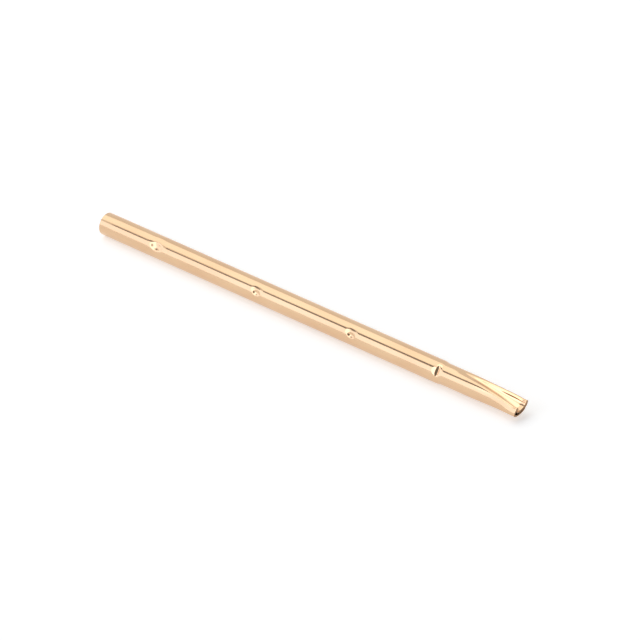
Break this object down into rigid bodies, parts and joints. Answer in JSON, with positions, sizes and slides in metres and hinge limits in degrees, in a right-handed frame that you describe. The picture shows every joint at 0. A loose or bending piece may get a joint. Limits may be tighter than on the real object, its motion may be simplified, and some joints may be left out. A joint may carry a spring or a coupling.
{
  "type": "spring bar tool",
  "caption": "Slim gold-plated sleeve with punched grip marks and a pressed scoop end, holding a spring-loaded push pin cartridge.",
  "frame": {"origin": "centre of the open mouth, on the tube's axis", "axes": "+X along the tube to the scoop end, +Z the way the scoop's hollow faces"},
  "size_m": [0.0373, 0.0016, 0.0016],
  "materials": {
    "gold_plate": "polished gold plate over nickel silver",
    "barrel_metal": "gold-plated drawn tube",
    "plug_brass": "turned brass",
    "pin_metal": "polished plated beryllium copper",
    "ball_steel": "polished steel",
    "spring_steel": "drawn spring wire"
  },
  "bodies": {
    "sleeve": {"sleeve_tube": "gold_plate"},
    "cartridge": {"pin_barrel": "barrel_metal", "barrel_plug": "plug_brass", "pin_spring": "spring_steel"},
    "pin": {"push_pin": "pin_metal", "thrust_ball": "ball_steel"}
  },
  "joints": [
    {"name": "cartridge_slide", "type": "slide", "parent": "sleeve", "child": "cartridge", "axis": [-1, 0, 0], "range_m": [0, 0.015]},
    {"name": "pin_stroke", "type": "slide", "parent": "cartridge", "child": "pin", "axis": [1, 0, 0], "range_m": [0, 0.0043], "stiffness_N_per_m": 300, "springref_m": -0.0017, "deforming": ["pin_spring"]}
  ]
}
